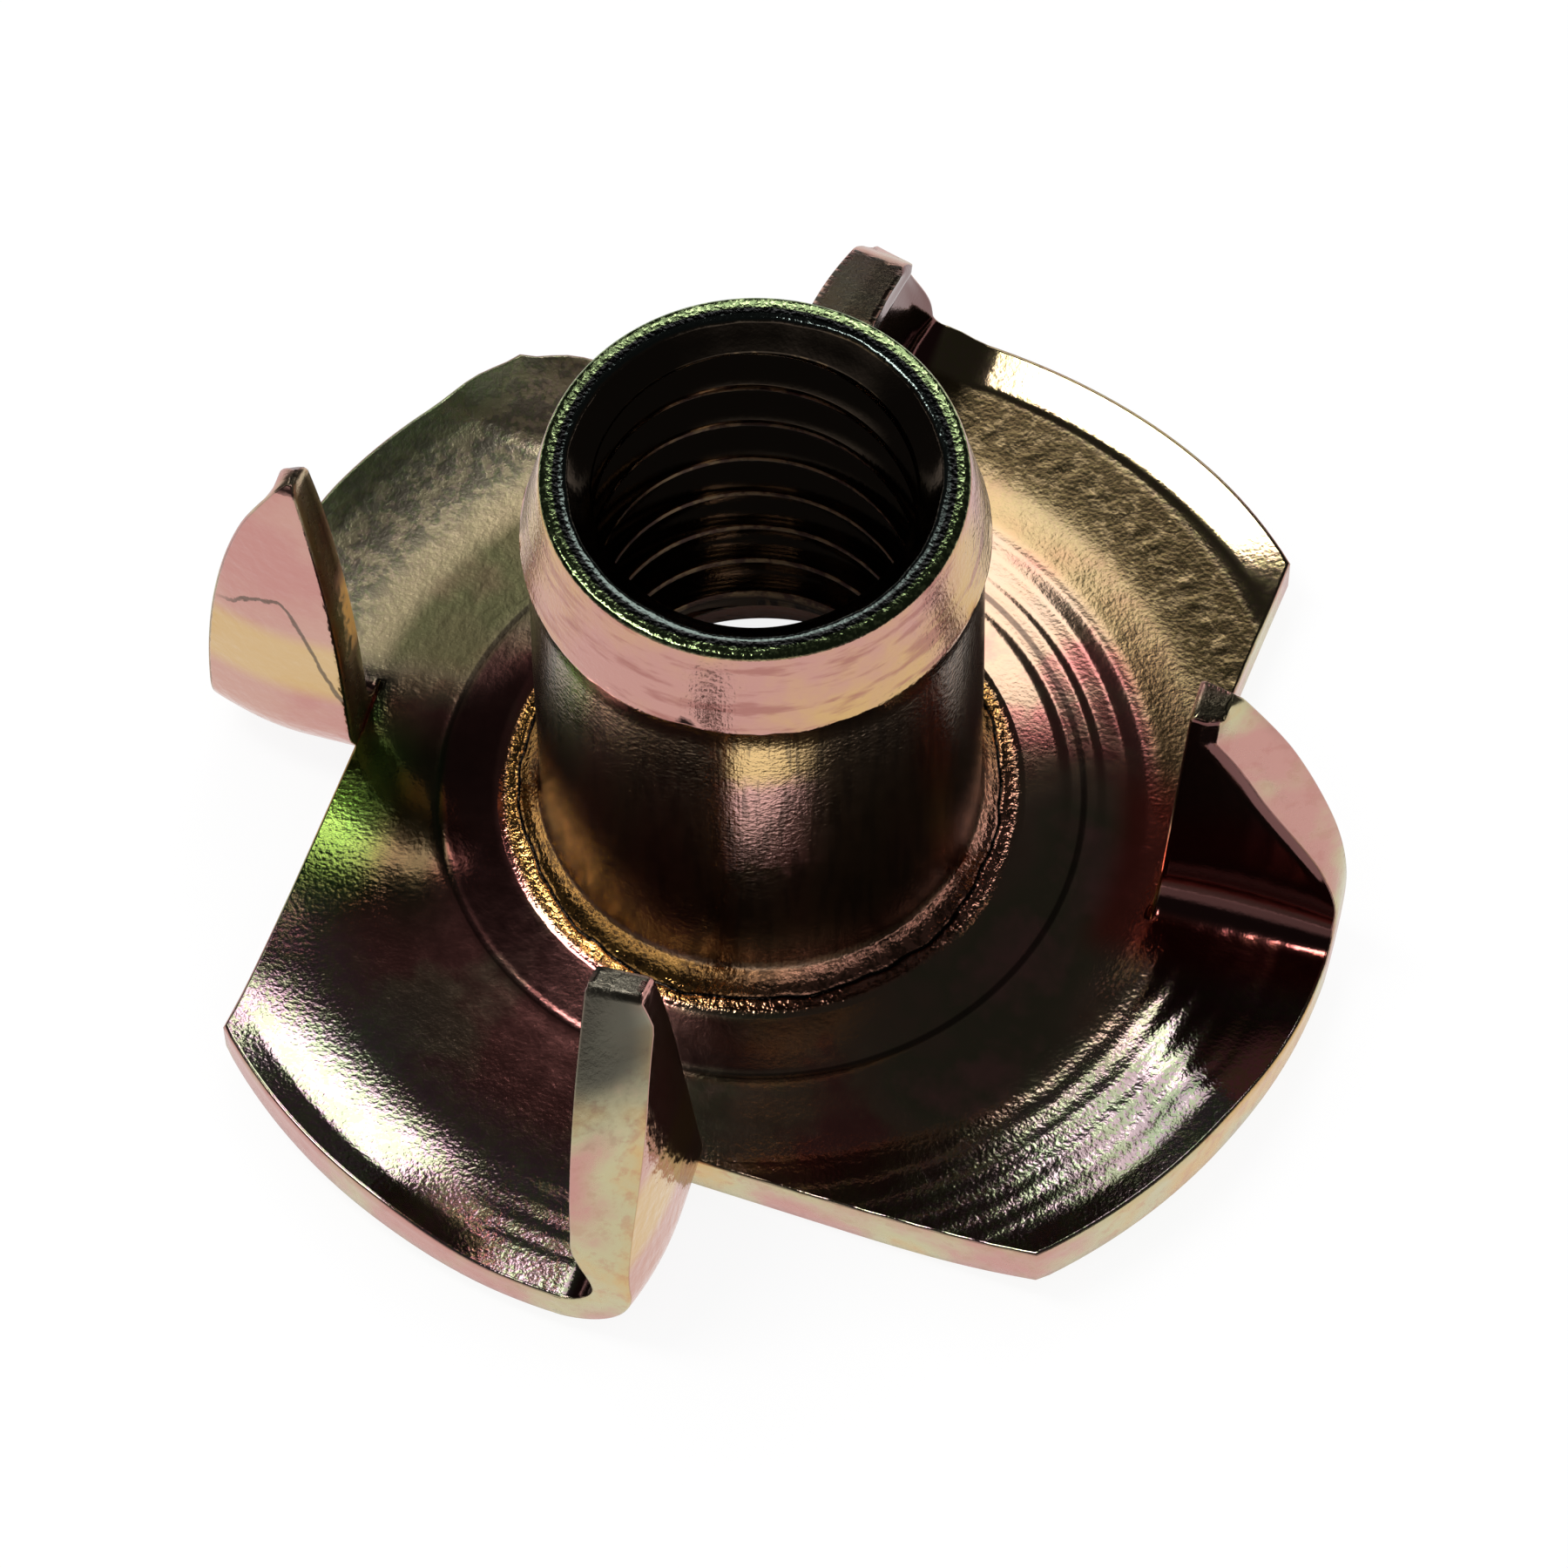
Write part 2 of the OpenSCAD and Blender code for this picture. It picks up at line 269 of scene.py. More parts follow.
# how much of the tip's rounding comes off its inner and outer edge, and the most that
# comes off either face
TIP_IN, TIP_OUT, TIP_THIN = 0.4, 0.8, 0.1
# the cut's slant grows from this height to this share of the prong's whole height, as long
# as the narrower face keeps this width, and the inner edge's rounding grows up the fold
BEVEL_FROM, BEVEL_FULL, FACE_WIDTH, ROUND_IN_GROWS = 0.1, 0.6, 0.5, 0.5
# the blade gets thinner up to its tip, and both its faces lose their curl on the way
BLADE_THIN, CURL_GONE, CURL_LOST, BACK_FROM, BACK_LOST = 0.06, 5.0, 0.85, 2.5, 0.45
# the inner face is drawn down along its outer edge, and a burr may stand up there
DRAW_DEEP, DRAW_WIDE, DRAW_FROM, DRAW_FULL, BURR_FULL = 0.09, 0.4, 0.2, 1.5, 1.2
# how far below the tip a knob and torn steel start and are full, and the tip's slant starts
KNOB_FROM, KNOB_FULL, TORN_FROM, TORN_FULL, SLANT_FROM = 1.6, 0.4, 2.1, 1.2, 1.5


def prong(turn, top=5.8, tip_round=0.16, slant=0.1, fold_in=0.0, edge_in=0.0, lean_in=0.0,
          thinning=1.0, torn_inside=0.0, bevel=0.5, swell=0.0, fold=FOLD_ANGLE, knob=0.0,
          end_curl=END_CURL):
    """One prong over its own radius: rows go up the fold and the blade to the tip, and
    columns go round the sheet: its inner face, outer edge, outer face and inner edge.
    In the fold the section swings about an axis above the sheet; above it, the outer edge
    is an arc of radius 8.8 and the inner edge leans out by the cut's splay."""
    edge_base = math.sqrt((FLANGE_R - fold_in) ** 2 - FOLD_HALF ** 2)
    edge_x = edge_base - PRONG_EDGE_R
    swing = np.linspace(0, fold, SWING_STEPS + 1)
    up = np.linspace(0, top - tip_round, BLADE_STEPS + 1)[1:]
    up = np.concatenate([up, top - tip_round * (1 - TIP_CLOSE)])
    y = np.concatenate([np.zeros(len(swing)), up])
    phi = np.concatenate([swing, np.full(len(up), fold)])
    reach = np.concatenate([swing / fold * FOLD_RUN, up + FOLD_RUN])
    drawn = np.concatenate([np.zeros(len(y) - len(TIP_CLOSE)),
                            tip_round * (1 - np.sqrt(1 - TIP_CLOSE ** 2))])
    thinned = np.minimum(drawn, TIP_THIN * thinning)

    x_in = CUT_X + y * slope + lean_in * (y / top) ** 3 + drawn * TIP_IN
    x_out = (edge_x + np.sqrt(PRONG_EDGE_R ** 2 - y ** 2) - drawn * TIP_OUT
             - edge_in * (y / top) ** 2)
    rounding = np.full(len(y), EDGE_ROUND)
    rounding_in = EDGE_ROUND * smooth(reach, 0, ROUND_IN_GROWS)
    # the cut slants, so one face is narrower than the other, except at the tip
    slanted = np.minimum(abs(bevel) * smooth(y, BEVEL_FROM, BEVEL_FULL * top),
                         np.clip(x_out - x_in - FACE_WIDTH, 0, None))
    shy, shy_back = (slanted, 0 * slanted) if bevel > 0 else (0 * slanted, slanted)
    x_face, x_back = [
        (x_in + rounding_in)[:, None] + (far - x_in - rounding_in)[:, None] * across[None, :]
        for far in (x_out - shy - rounding, x_out - shy_back - rounding)]
    r_face, r_back = [np.sqrt((x + edge_base - x_out[:, None]) ** 2 + FOLD_HALF ** 2)
                      for x in (x_face, x_back)]
    r_face, r_back = [r + fold_in * smooth(r, NECK_R, RIM_R) for r in (r_face, r_back)]
    curl = (end_curl * (1 - CURL_LOST * smooth(y, 0, CURL_GONE)))[:, None]
    thin = (BLADE_THIN * thinning * smooth(y, 0, top))[:, None]
    near_edge = 1 - smooth((x_out - shy)[:, None] - x_face, 0, DRAW_WIDE + swell)
    drawn_down = DRAW_DEEP * near_edge ** 2 * smooth(y, DRAW_FROM, DRAW_FULL)[:, None]
    burr = swell * near_edge * smooth(y, 0, BURR_FULL)[:, None]
    face = rim_top(r_face, curl) - thin - thinned[:, None] - drawn_down + burr
    face = face + knob * smooth(y, top - KNOB_FROM, top - KNOB_FULL)[:, None]
    back = rim_under(r_back, end_curl) * (1 - BACK_LOST * smooth(y, BACK_FROM, top)[:, None])
    back = back + thinned[:, None]

    depth_in = wall_heights(face[:, 0], back[:, 0], rounding)
    depth_out = wall_heights(face[:, -1], back[:, -1], rounding)
    out_x = ((x_out - shy)[:, None] + (shy - shy_back)[:, None] * wall_between
             - wall_in * rounding[:, None])
    in_x = x_in[:, None] + wall_in * rounding_in[:, None]
    loop_x = np.concatenate([x_face, out_x[:, 1:-1], x_back[:, ::-1], in_x[:, -2:0:-1]], 1)
    loop_h = np.concatenate([face, depth_out[:, 1:-1], back[:, ::-1], depth_in[:, -2:0:-1]], 1)

    # columns: the inner face, the outer edge, the outer face and the inner edge
    outer = slice(ACROSS_STEPS + 1, ACROSS_STEPS + WALL_STEPS)
    outside = slice(outer.stop, outer.stop + ACROSS_STEPS + 1)
    inner = slice(outside.stop, None)
    down = np.linspace(1, 0, WALL_STEPS + 1)[1:-1]
    marks = no_marks(loop_x.shape)
    marks["cut"][:, outer] = marks["cut"][:, inner] = 1
    marks["depth"][:, outer] = marks["depth"][:, inner] = down
    marks["depth"][:, outside] = 1
    marks["reach"][:] = reach[:, None]
    marks["torn"][:, inner] = torn_inside * smooth(y, 0, 1.0)[:, None]
    tip_torn = np.sin(np.pi * np.linspace(0.1, 1, WALL_STEPS + 1)[1:-1]) ** 2 * swell * 2
    marks["torn"][:, outer] = smooth(y, top - TORN_FROM, top - TORN_FULL)[:, None] * tip_torn

    # the tip's facet, between the two faces of the last row
    share = np.linspace(0, 1, WALL_STEPS + 1)
    cap_x = x_face[-1] + (x_back[-1] - x_face[-1]) * wall_between[:, None]
    cap_h = face[-1][None, :] + (back[-1] - face[-1])[None, :] * share[:, None]
    cap_x[1:-1, 0], cap_x[1:-1, -1] = in_x[-1, 1:-1], out_x[-1, 1:-1]
    cap_h[1:-1, 0], cap_h[1:-1, -1] = depth_in[-1, 1:-1], depth_out[-1, 1:-1]
    cap_marks = no_marks(cap_x.shape)
    cap_marks["cut"][:] = cap_marks["torn"][:] = 1
    cap_marks["depth"][:] = share[:, None]
    cap_marks["reach"][:] = reach[-1]

    def bend(px, ph, py, pphi):
        """Carries a point of the flat sheet to its place: swung about the fold's axis, and
        then on along the blade. Near the tip the outer side is lower by the slant."""
        on = py - slant * (px - CUT_X) * smooth(py, top - SLANT_FROM, top)
        arm = FOLD_R - ph
        return turned(px, -FOLD_HALF + arm * np.sin(pphi) + on * np.cos(pphi),
                      FOLD_R - arm * np.cos(pphi) + on * np.sin(pphi), turn)

    return ((bend(loop_x, loop_h, y[:, None], phi[:, None]), marks),
            (bend(cap_x, cap_h, y[-1], phi[-1]), cap_marks))


# the flared mouth is a quarter of an ellipse, made fuller by a power, with a short step
# at its top, as (radius, height)
UNDER_ROWS, FLARE_ROWS = np.linspace(CORE_R, 4.85, 7), np.radians(np.linspace(0, 90, 19))
THROAT_R, FLARE_WIDE, FLARE_TALL, FLARE_POWER = 2.87, 1.83, 2.5, 0.75
THROAT_STEP = ((2.865, 2.56), (2.84, 2.62), (2.72, 2.73), (2.6, 2.81))
# the thread, the lengths in which it starts and runs out, and one pitch of it: crest,
# flank, root and flank, by phase and depth
BORE_R, MAJOR_R, PITCH, THREAD_FOOT, THREAD_TOP = 2.5, 3.0, 1.0, 2.87, 10.2
RUN_IN, RUN_OUT = 0.5, 0.35
THREAD_PHASE = (0, 0.025, 0.08, 0.135, 0.16, 0.32, 0.47, 0.51, 0.58, 0.65, 0.69, 0.84)
THREAD_DEPTH = (0, 0, 0, 0, 0.03, 0.5, 0.96, 1, 1, 1, 0.96, 0.5)
# the chamfer and the flat end, as (radius, share of the uneven edge, height, mark); the mouth's
# rounding takes the thread's mark, and so its painted dark shade
HEIGHT = 10.6
END_ROWS = ((2.53, 0, 10.23, "thread"), (2.7, 0.5, 10.4, "thread"), (2.86, 1, 10.54, "thread"),
            (2.9, 1, 10.585, "end"), (2.95, 1, HEIGHT, "end"), (3.05, 0, HEIGHT, "end"),
            (3.15, 0, HEIGHT, "end"), (3.24, 0, 10.597, "end"), (3.285, 0, 10.575, "end"),
            (3.31, 0, 10.53, "band"))
# the tapered band, which takes up a share of its uneven lower edge and has a small step
# under it, as (radius, distance below that edge, mark)
BAND_TOP_R, BAND_GROWS, BAND_LOW, BAND_TALL, BAND_SHARE = 3.3, 0.36, 8.95, 1.65, 0.3
BAND_ROWS = np.linspace(0.08, 0.96, 7)
BAND_STEP = ((3.655, -0.02, "band"), (3.645, 0.02, "band"), (3.615, 0.04, None))
# the barrel, which is a little slimmer just under the band
BARREL_R, BARREL_TOP, BARREL_LOW, SLIM, SLIM_FROM, SLIM_POWER = 3.6, 8.9, 2.0, 0.06, 4.6, 1.3
BARREL_ROWS = np.linspace(0.02, 1, 14)
# the round at the barrel's foot, with an uneven crease pressed round it, and the cone
FOOT_ROUND, CREASE_R, CREASE_HALF, CREASE_DEEP = 0.62, 3.98, 0.03, 0.03
ROUND_ROWS, CREASE_ROWS = np.radians(np.linspace(6, 34, 5)), np.linspace(3.73, 4.3, 24)
CONE_ROWS = np.concatenate([np.linspace(4.4, 4.85, 4), np.linspace(4.9, CORE_R, 37)])
# the uneven lines of the mouth, the band's edge, the crease and its beads, as (numbers of
# waves, sizes, seed)
MOUTH_LINE = (3, 7, 13, 29), (0.012, 0.008, 0.006, 0.004), 5
BAND_LINE = (4, 9, 17, 31, 47, 71), (0.03, 0.02, 0.02, 0.012, 0.01, 0.006), 11
CREASE_LINE = (2, 5, 11, 23, 37), (0.03, 0.025, 0.02, 0.012, 0.01), 23
BEADS_LINE, BEADS_EASE = ((19, 31, 53), (0.4, 0.4, 0.4), 7), 0.3


def core_part(lobe_rings):
    """The part inside radius 6.5, turned about the axis: rows run in along the underside,
    up the flared mouth and the thread, over the end and down the barrel to the flange.
    The thread's rows climb one pitch a turn, so its crests are clean edges."""
    around = np.concatenate([core_angles[:-1] + k * np.pi / 2 for k in range(4)]
                            + [[start_angle + 2 * np.pi]])
    part_turn = (around - start_angle) / (2 * np.pi)
    middle = lobe_middle(np.linspace(0, 1, CHORD_STEPS + ARC_STEPS + 1)[:-1])
    rings = np.concatenate([RINGS + (more - RINGS) * middle for more in lobe_rings] + [[RINGS]])
    rows = []

    def add(r, z, mark=None, seam=0.0):
        """Adds one row, with a radius, height and crease that may change round it."""
        rows.append([np.broadcast_to(np.asarray(v, float), around.shape) for v in (r, z, seam)]
                    + [mark])

    for r in UNDER_ROWS:
        add(r, 0, "depth")
    for a in FLARE_ROWS:
        add(THROAT_R + FLARE_WIDE * (1 - np.sin(a)) ** FLARE_POWER,
            FLARE_TALL * (1 - np.cos(a)), "depth")
    for r, z in THROAT_STEP:
        add(r, z, "depth")

    turns = int(math.ceil((THREAD_TOP - THREAD_FOOT) / PITCH)) + 1
    for k in range(-1, turns):
        for phase, depth in zip(THREAD_PHASE, THREAD_DEPTH):
            z = np.clip(THREAD_FOOT + (k + phase + part_turn) * PITCH, THREAD_FOOT, THREAD_TOP)
            fade = (smooth(z, THREAD_FOOT, THREAD_FOOT + RUN_IN)
                    * (1 - smooth(z, THREAD_TOP - RUN_OUT, THREAD_TOP)))
            add(BORE_R + (MAJOR_R - BORE_R) * depth * fade, z, "thread" if depth else "crest")
    ragged = wander(around, *MOUTH_LINE)
    for r, uneven, z, mark in END_ROWS:
        add(r + uneven * ragged, z, mark)

    low = BAND_LOW + wander(around, *BAND_LINE)
    for t in BAND_ROWS:
        add(BAND_TOP_R + BAND_GROWS * t,
            HEIGHT - BAND_TALL * t + BAND_SHARE * t * (low - BAND_LOW), "band")
    for r, down, mark in BAND_STEP:
        add(r, low - down, mark)
    for t in BARREL_ROWS:
        z = BARREL_TOP + (BARREL_LOW - BARREL_TOP) * t
        slimmer = SLIM * np.clip((z - SLIM_FROM) / (BARREL_TOP - SLIM_FROM), 0, 1) ** SLIM_POWER
        add(BARREL_R - slimmer, z + (1 - t) * (low - BAND_LOW))
    squiggle = wander(around, *CREASE_LINE)
    for a in ROUND_ROWS:
        add(BARREL_R + FOOT_ROUND * (1 - np.cos(a)), CONE_TOP + FOOT_ROUND * (1 - np.sin(a)))
    beads = smooth(wander(around, *BEADS_LINE), -BEADS_EASE, BEADS_EASE)
    for r in CREASE_ROWS:
        flat = np.clip((CONE_FOOT_R - r) / FOOT_ROUND, 0, 1)
        z = cone_top(r, rings) + FOOT_ROUND * (1 - np.sqrt(1 - flat ** 2)) * (r < CONE_FOOT_R)
        seam = np.exp(-((r - CREASE_R - squiggle) / CREASE_HALF) ** 2)
        add(r, z - CREASE_DEEP * (1 + beads) * seam, seam=seam)
    for r in CONE_ROWS:
        add(r, cone_top(r, rings))

    r, z, seam = [np.array([row[i] for row in rows]) for i in range(3)]
    marks = no_marks(r.shape)
    for i, row in enumerate(rows):
        if row[-1]:
            marks[row[-1]][i] = 1
    marks["thread"] += marks["crest"]
    marks["seam"] = seam
    return np.stack([r * np.cos(around), r * np.sin(around), z], -1), marks


# each lobe and prong differs a little: the flange sits slightly off its centre, the back
# prong is the shortest, and its lobe's corner stands up more
lobe_rings = (1.0, RINGS, RINGS, RINGS)
sheets = [
    core_part(lobe_rings),
    lobe(0, corner_out=0.22, crimp=1.0, rings=lobe_rings[0], end_curl=1.0),
    lobe(np.pi / 2, corner_out=-0.3, fold_in=0.4, corner_curl=1.2, chord_up=1.0, blunt=0.3),
    lobe(np.pi),
    lobe(3 * np.pi / 2, corner_curl=0.9, spread=1.0)]
tubes, tips = zip(
    prong(0, top=5.5, tip_round=0.14, edge_in=0.05, thinning=0.3, bevel=0.8),
    prong(np.pi / 2, top=3.3, tip_round=0.3, slant=0.3, thinning=0.0, torn_inside=1.0,
          bevel=0.2, fold=math.radians(86), knob=0.3, end_curl=1.0),
    prong(np.pi, top=6.0, tip_round=0.2, fold_in=0.4, edge_in=-0.85, lean_in=0.4),
    prong(3 * np.pi / 2, top=5.8, tip_round=0.1, thinning=0.3, bevel=-0.7, swell=0.35))

vertices, faces, marks, count = [], [], [], 0
for closes, group in ((False, sheets), (True, tubes), (False, tips)):
    for points, block_marks in group:
        rows, cols = points.shape[:2]
        index = np.arange(rows * cols).reshape(rows, cols) + count
        if closes:
            index = np.concatenate([index, index[:, :1]], 1)
        quads = np.stack([index[:-1, :-1], index[:-1, 1:], index[1:, 1:], index[1:, :-1]], -1)
        faces.append(quads.reshape(-1, 4))
        vertices.append(points.reshape(-1, 3))
        marks.append(np.stack([block_marks[name].ravel() for name in MARKS]))
        count += rows * cols
vertices, faces, marks = np.concatenate(vertices), np.concatenate(faces), np.concatenate(marks, 1)

mesh = bpy.data.meshes.new("pressed_steel_nut")
mesh.from_pydata(vertices * MM, [], faces.tolist())
for name, values in zip(MARKS, marks):
    mesh.attributes.new(name, "FLOAT", "POINT").data.foreach_set("value", values.astype(np.float32))
shell = bmesh.new()
shell.from_mesh(mesh)
bmesh.ops.remove_doubles(shell, verts=shell.verts, dist=1.0e-6)
bmesh.ops.recalc_face_normals(shell, faces=shell.faces)
shell.to_mesh(mesh)
shell.free()
mesh.shade_smooth()
nut = bpy.data.objects.new("pressed_steel_nut", mesh)
bpy.context.scene.collection.objects.link(nut)


class Value:
    """A socket's value, with sums and products written as Python expressions."""

    def __init__(self, socket):
        self.socket = socket
        self.tree = socket.id_data

    def maths(self, kind, other=None, at=0):
        """One Math node, with this value on its first socket, or its second if at is 1."""
        return node(self.tree, "ShaderNodeMath", {"operation": kind}, {at: self, 1 - at: other})

    def __add__(self, other):
        return self.maths("ADD", other)

    def __sub__(self, other):
        return self.maths("SUBTRACT", other)

    def __rsub__(self, other):
        return self.maths("SUBTRACT", other, at=1)

    def __mul__(self, other):
        return self.maths("MULTIPLY", other)

    def __truediv__(self, other):
        return self.maths("DIVIDE", other)

    def __rtruediv__(self, other):
        return self.maths("DIVIDE", other, at=1)

    def __neg__(self):
        return self.maths("MULTIPLY", -1.0)

    __radd__, __rmul__ = __add__, __mul__

    def between(self, low, high):
        """0 up to low, 1 from high on, and a smooth step between them."""
        return node(self.tree, "ShaderNodeMapRange", {"interpolation_type": "SMOOTHSTEP"},
                    {"Value": self, "From Min": low, "From Max": high})

    def times(self, amount):
        """A vector made longer by an amount."""
        return node(self.tree, "ShaderNodeVectorMath", {"operation": "SCALE"},
                    {0: self, "Scale": amount})


def node(tree, kind, settings=None, sockets=None, out=0):
    """Adds a node, sets its settings first, fills its sockets, and gives an output."""
    made = tree.nodes.new(kind)
    for name, value in (settings or {}).items():
        if name == "stops":
            ramp = made.color_ramp
            while len(ramp.elements) < len(value):
                ramp.elements.new(0.5)
            for element, (at, colour) in zip(ramp.elements, value):
                element.position, element.color = at, (*colour, 1)
        else:
            setattr(made, name, value)
    for name, value in (sockets or {}).items():
        if isinstance(value, Value):
            tree.links.new(value.socket, made.inputs[name])
        elif value is not None:
            made.inputs[name].default_value = value
    return Value(made.outputs[out]) if made.outputs else made


steel = bpy.data.materials.new("passivated_zinc")
steel.use_nodes = True
tree = steel.node_tree
tree.nodes.clear()


def noise(vector, scale, detail=2.0, rough=0.5):
    """An uneven pattern of so many patches to the millimetre."""
    return node(tree, "ShaderNodeTexNoise", {},
                {"Vector": vector, "Scale": scale, "Detail": detail, "Roughness": rough})


def mix(amount, first, second):
    """The first colour, with an amount of the second in it."""
    first, second = [c if isinstance(c, Value) else (*c, 1) for c in (first, second)]
    return node(tree, "ShaderNodeMix", {"data_type": "RGBA"},
                {0: amount, 6: first, 7: second}, out=2)


def layered(ground, *layers):
    """A colour with others laid over it in turn, each given as (share, colour)."""
    for share, colour in layers:
        ground = mix(share, ground, colour)
    return ground


place = node(tree, "ShaderNodeTexCoord", out="Object").times(1 / MM)
x, y, z = [node(tree, "ShaderNodeSeparateXYZ", {}, {0: place}, out=axis) for axis in "XYZ"]
r = (x * x + y * y).maths("SQRT")
round_x, round_y = x / r, y / r
cut, depth, reach, torn, thread, crest, band, end, seam = [
    node(tree, "ShaderNodeAttribute", {"attribute_name": name}, out="Fac") for name in MARKS]


def streaks(counts, along, detail=3.0, rough=0.5):
    """Noise that is finer round the axis, by the counts, than along the other way."""
    spot = node(tree, "ShaderNodeCombineXYZ", {},
                {0: round_x * counts, 1: round_y * counts, 2: along})
    return noise(spot, 1.0, detail, rough)


# uneven patterns, from broad to fine
broad = noise(place, 0.28, 1.0)
patches = noise(place, 0.7, 2.0)
fine = noise(place, 3.5, 4.0, 0.6)
speck = noise(place, 13.0, 2.0)
shift = 0.6 * broad + 0.3 * patches + 0.1 * fine
rolled = streaks(3.5, z * 5, rough=0.55)

# where things are: the side of the nut, the lobe's parts, the barrel and its foot
top = 1 - depth
on_top = top * (1 - cut)
inside_barrel = 1 - r.between(3.63, 3.68)
on_barrel = inside_barrel * (1 - end) * (1 - thread) * top
on_foot = r.between(3.63, 3.7) * (1 - r.between(4.2, 4.35)) * on_top
in_fold = reach.between(0.02, 0.35)
left_back = (-x).between(0.0, 2.0) * y.between(0.0, 1.2) * r.between(4.4, 5.6)
right_back = (x + y).between(6.0, 9.0)
right_front = (x - y).between(5.0, 8.5)
bowl = r.between(5.8, 7.0) * on_top * (1 - 0.8 * in_fold)
past_lip = r.between(8.8, 9.0)
lip = past_lip * right_back
off_lip = 1 - 0.85 * lip

# colours of the passivation film, which shift with its thickness, and dark ones that serve as
# painted shade
gold, pink, rose = (0.62, 0.40, 0.17), (0.55, 0.29, 0.25), (0.45, 0.17, 0.15)
olive, green, cream = (0.48, 0.40, 0.25), (0.24, 0.36, 0.14), (0.70, 0.57, 0.41)
brown, dark, silver = (0.42, 0.28, 0.19), (0.10, 0.075, 0.055), (0.56, 0.52, 0.46)
tawny, khaki, straw = (0.40, 0.28, 0.20), (0.31, 0.27, 0.17), (0.54, 0.48, 0.29)
lilac, grass, bronze = (0.48, 0.35, 0.46), (0.32, 0.47, 0.26), (0.30, 0.22, 0.10)
groove_shade, fold_shade, maroon = (0.03, 0.02, 0.02), (0.15, 0.065, 0.06), (0.13, 0.055, 0.05)

# the back left lobe is dark moss green inside, with a painted highlight as a light ring, dappled
# spots of painted light beyond it and a green edge
painted_dapples = mix(fine.between(0.46, 0.56), (0.17, 0.17, 0.08), (0.46, 0.36, 0.22))
moss_and_painted_light = layered((0.13, 0.13, 0.055),
                (r.between(6.6, 7.1), (0.52, 0.42, 0.24)),
                (r.between(7.2, 7.8), painted_dapples),
                (r.between(8.4, 9.4), (0.22, 0.31, 0.12)))
# painted shade: a dark spot lies at the left prong's root, and leafy green in front of it
root = (-x).between(6.3, 6.6) * (x + 7.4).between(0.0, 0.3)
root = root * (y + 0.5).between(0.0, 0.2) * (1 - y.between(0.4, 0.8))
leafy = (-x).between(3.8, 5.0) * (y + 4.6).between(0.0, 1.4) * (1 - y.between(-1.0, 0.5))
leaf = mix((-x).between(5.4, 6.6), (0.05, 0.07, 0.03), (0.14, 0.34, 0.06))
# the back right lobe is gilt, with painted shade in a dark band next to its lip
gilt = (x + y).between(3.0, 7.0) * y.between(0.3, 1.5) * r.between(6.3, 6.7)
painted_dark_band = mix(fine.between(0.5, 0.6), (0.10, 0.07, 0.03), (0.24, 0.17, 0.09))
# the front left is maroon beside the foot, and the right has a ruddy patch
front_left = (-x - y).between(2.0, 4.0) * r.between(4.3, 4.45) * (1 - r.between(5.15, 5.3))
ruddy = r.between(5.6, 6.2) * x.between(4.5, 5.5)
ruddy = ruddy * (y + 1.6).between(0.0, 0.8) * (1 - y.between(1.4, 2.6))
# lilac and grass green glints lie over the outer flange and painted shade darkens the groove, and
# the foot is coppery, with dark specks and painted shade in its crease
glints = mix((0.5 * fine + 0.5 * speck).between(0.46, 0.54), lilac, grass)
off_groove = r - GROOVE_R
in_groove = 1 - (off_groove * off_groove).between(0.0008, 0.005)
foot = layered(mix((x - y * 0.5).between(1.5, 4.0), (0.62, 0.33, 0.10), (0.56, 0.27, 0.20)),
               ((0.5 * speck + 0.5 * fine).between(0.47, 0.58) * 0.7, (0.09, 0.05, 0.03)),
               (seam.between(0.25, 0.7), (0.02, 0.015, 0.012)))
film = node(tree, "ShaderNodeValToRGB", {"stops": [
    (0.43, rose), (0.49, brown), (0.54, tawny), (0.59, khaki), (0.65, pink)]},
    {"Fac": shift + 0.04 * r.between(4.6, 7.0) - 0.04})
flange = layered(film,
                 (r.between(6.8, 8.4) * 0.35, silver),
                 (left_back * 0.85, moss_and_painted_light),
                 (root * 0.9, (0.05, 0.045, 0.03)),
                 (r.between(6.6, 8.2) * (1 - 0.7 * left_back) * 0.5, glints),
                 (in_groove * 0.7, groove_shade),
                 (gilt * 0.8, bronze),
                 (gilt * r.between(7.0, 7.8) * (1 - past_lip) * 0.85, painted_dark_band),
                 (leafy * 0.9, leaf),
                 (front_left * 0.9, maroon),
                 (ruddy * 0.85, (0.55, 0.09, 0.07)),
                 # painted shade darkens the folds up into the prongs
                 (in_fold, fold_shade),
                 (1 - r.between(4.15, 4.3), foot))

# the barrel is dark with drawn streaks, and has a painted reflection, bright pink and gold, in a
# strip at the front and the back
reflection_strip = round_x.between(0.08, 0.2) * (1 - round_x.between(0.4, 0.6))
reflection_strip = reflection_strip * (z + 2.0 * fine).between(5.5, 6.1)
bright = layered(mix((z + 0.8 * fine).between(7.4, 8.1), (0.82, 0.45, 0.39), (0.85, 0.57, 0.25)),
                 (patches.between(0.45, 0.8) * 0.4, brown))
barrel = layered(mix(reflection_strip, (0.26, 0.18, 0.12), bright),
                 (streaks(26, z * 0.7).between(0.48, 0.6) * 0.5, dark))
collar = layered(mix(shift.between(0.44, 0.62), pink, gold),
                 (rolled.between(0.48, 0.68) * 0.7, (0.36, 0.14, 0.12)))
# the end is green with specks, with painted shade at the mouth, where the chamfer is a dark steel
# grey that also stands for shade
end_face = layered(mix(speck.between(0.5, 0.62), (0.15, 0.20, 0.09), (0.42, 0.52, 0.25)),
                   (1 - r.between(3.08, 3.12), (0.02, 0.02, 0.02)),
                   (1 - r.between(2.98, 3.01), (0.09, 0.11, 0.10)))
# the thread is painted dark as shade in the bore, and its crests lighter as painted highlights
crests = mix(fine.between(0.42, 0.58), (0.20, 0.12, 0.09), (0.52, 0.36, 0.20))

